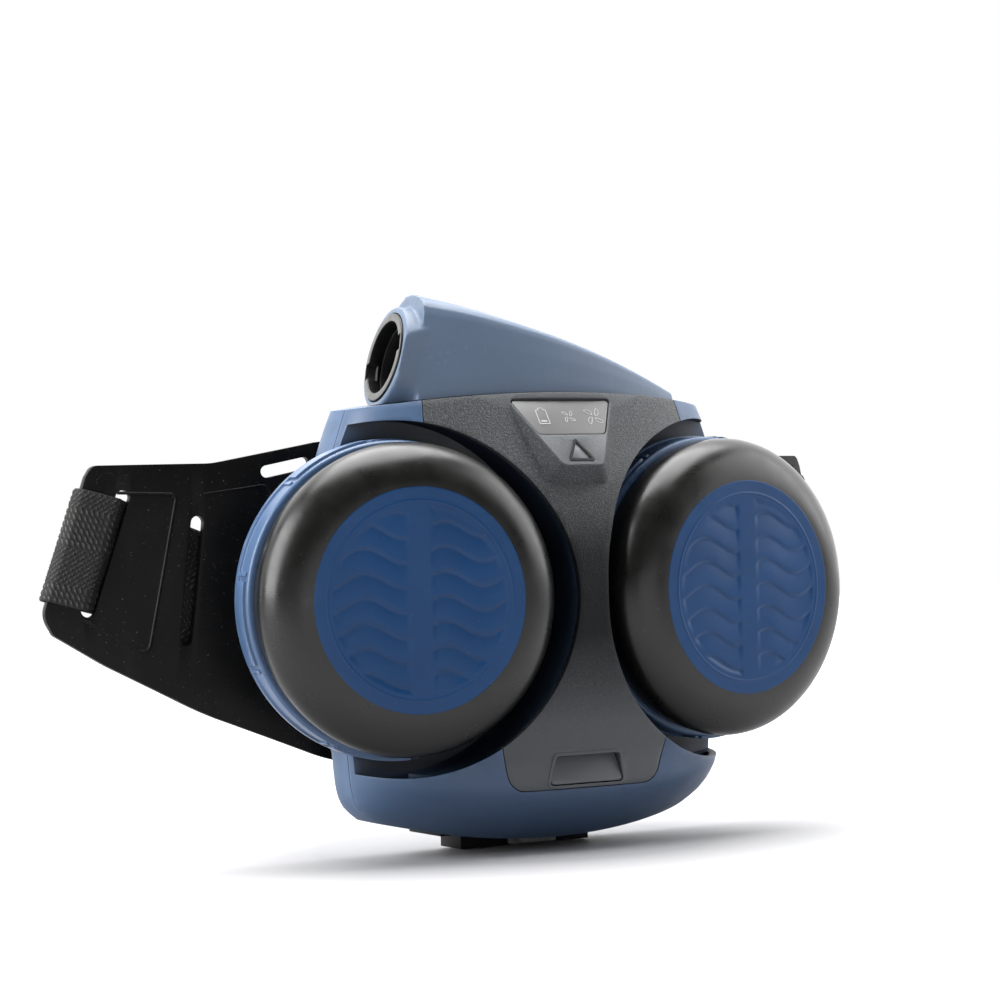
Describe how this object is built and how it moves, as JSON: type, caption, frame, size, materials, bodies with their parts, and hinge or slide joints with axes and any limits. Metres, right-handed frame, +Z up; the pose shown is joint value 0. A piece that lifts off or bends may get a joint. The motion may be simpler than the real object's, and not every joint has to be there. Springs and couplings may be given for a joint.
{
  "type": "powered air respirator",
  "caption": "Belt-worn air-purifying blower with screw-on filter cartridges, a battery, a hose outlet and a curved belt plate with webbing.",
  "frame": {"origin": "on the floor, in the middle of the flat foot under the battery", "axes": "+X to the viewer's right when facing the filters, -Y out of the front, +Z up"},
  "size_m": [0.3254, 0.0971, 0.1909],
  "materials": {
    "casing_blue": "moulded satin, dark blue-grey",
    "filter_blue": "moulded satin, blue",
    "panel_grey": "fine grained, mid grey",
    "key_grey": "smooth, light grey",
    "holder_black": "satin black",
    "plate_black": "satin black",
    "webbing_black": "twill webbing",
    "rubber_black": "soft, matt",
    "lens_grey": "smooth light guide",
    "pad_white": "felted fibre",
    "steel": "zinc plated",
    "fan_white": "moulded, natural white",
    "board_green": "coated board",
    "cell_blue": "shrink sleeve on a steel can"
  },
  "bodies": {
    "casing": {"front_casing": "casing_blue", "rear_casing": "casing_blue", "centre_panel": "panel_grey", "outlet_cover": "casing_blue", "outlet_collar": "holder_black", "outlet_seal": "rubber_black", "warning_lens": "lens_grey", "name_badge": "panel_grey", "fan_housing": "fan_white", "fan_cover": "fan_white", "fan_motor": "steel", "control_board": "board_green", "left_filter_socket": "holder_black", "right_filter_socket": "holder_black", "left_socket_gasket": "rubber_black", "right_socket_gasket": "rubber_black", "belt_plate": "plate_black", "belt_plate_screw_1": "steel", "belt_plate_screw_2": "steel", "belt_plate_screw_3": "steel", "belt_plate_screw_4": "steel", "casing_screw_1": "steel", "casing_screw_2": "steel", "casing_screw_3": "steel", "casing_screw_4": "steel", "battery_terminal": "panel_grey", "power_cable": "rubber_black", "left_belt_strap": "webbing_black", "right_belt_strap": "webbing_black", "buckle_socket": "plate_black", "buckle_plug": "plate_black"},
    "impeller": {"impeller": "fan_white", "motor_shaft": "steel"},
    "control_key": {"control_key": "key_grey"},
    "battery": {"battery_case": "plate_black", "battery_cap": "plate_black", "battery_cell_1": "cell_blue", "battery_cell_2": "cell_blue", "battery_cell_3": "cell_blue", "battery_cell_4": "cell_blue"},
    "battery_catch": {"battery_catch": "key_grey"},
    "left_filter": {"left_filter_housing": "filter_blue", "left_filter_media": "pad_white"},
    "right_filter": {"right_filter_housing": "filter_blue", "right_filter_media": "pad_white"},
    "left_prefilter": {"left_prefilter_holder": "holder_black", "left_prefilter_disc": "filter_blue", "left_prefilter_pad": "pad_white"},
    "right_prefilter": {"right_prefilter_holder": "holder_black", "right_prefilter_disc": "filter_blue", "right_prefilter_pad": "pad_white"},
    "upper_prong": {"upper_buckle_prong": "plate_black"},
    "lower_prong": {"lower_buckle_prong": "plate_black"}
  },
  "joints": [
    {"name": "impeller_spin", "type": "hinge", "parent": "casing", "child": "impeller", "pos_m": [0, -0.0034, 0.116], "axis": [0, 1, 0], "continuous": true},
    {"name": "control_key_press", "type": "slide", "parent": "casing", "child": "control_key", "axis": [0, 0.8329, -0.5534], "range_m": [0, 0.0006], "stiffness_N_per_m": 2000},
    {"name": "battery_slide", "type": "slide", "parent": "casing", "child": "battery", "axis": [0, 0, -1], "range_m": [0, 0.075]},
    {"name": "battery_catch_press", "type": "slide", "parent": "battery", "child": "battery_catch", "axis": [0, 1, 0], "range_m": [0, 0.002], "stiffness_N_per_m": 1500},
    {"name": "left_filter_turn", "type": "hinge", "parent": "casing", "child": "left_filter", "pos_m": [-0.0652, -0.0534, 0.088], "axis": [-0.1271, -0.9919, 0], "range_deg": [0, 45]},
    {"name": "right_filter_turn", "type": "hinge", "parent": "casing", "child": "right_filter", "pos_m": [0.0652, -0.0534, 0.088], "axis": [0.1271, -0.9919, 0], "range_deg": [0, 45]},
    {"name": "left_prefilter_pull", "type": "slide", "parent": "left_filter", "child": "left_prefilter", "axis": [-0.1271, -0.9919, 0], "range_m": [0, 0.025]},
    {"name": "right_prefilter_pull", "type": "slide", "parent": "right_filter", "child": "right_prefilter", "axis": [0.1271, -0.9919, 0], "range_m": [0, 0.025]},
    {"name": "upper_prong_squeeze", "type": "hinge", "parent": "casing", "child": "upper_prong", "pos_m": [0.01, 0.0176, 0.085], "axis": [0, -1, 0], "range_deg": [0, 5]},
    {"name": "lower_prong_squeeze", "type": "hinge", "parent": "casing", "child": "lower_prong", "pos_m": [0.01, 0.0176, 0.063], "axis": [0, 1, 0], "range_deg": [0, 5]}
  ],
  "couplings": [
    {"joint": "lower_prong_squeeze", "follows": "upper_prong_squeeze", "ratio": 1}
  ]
}
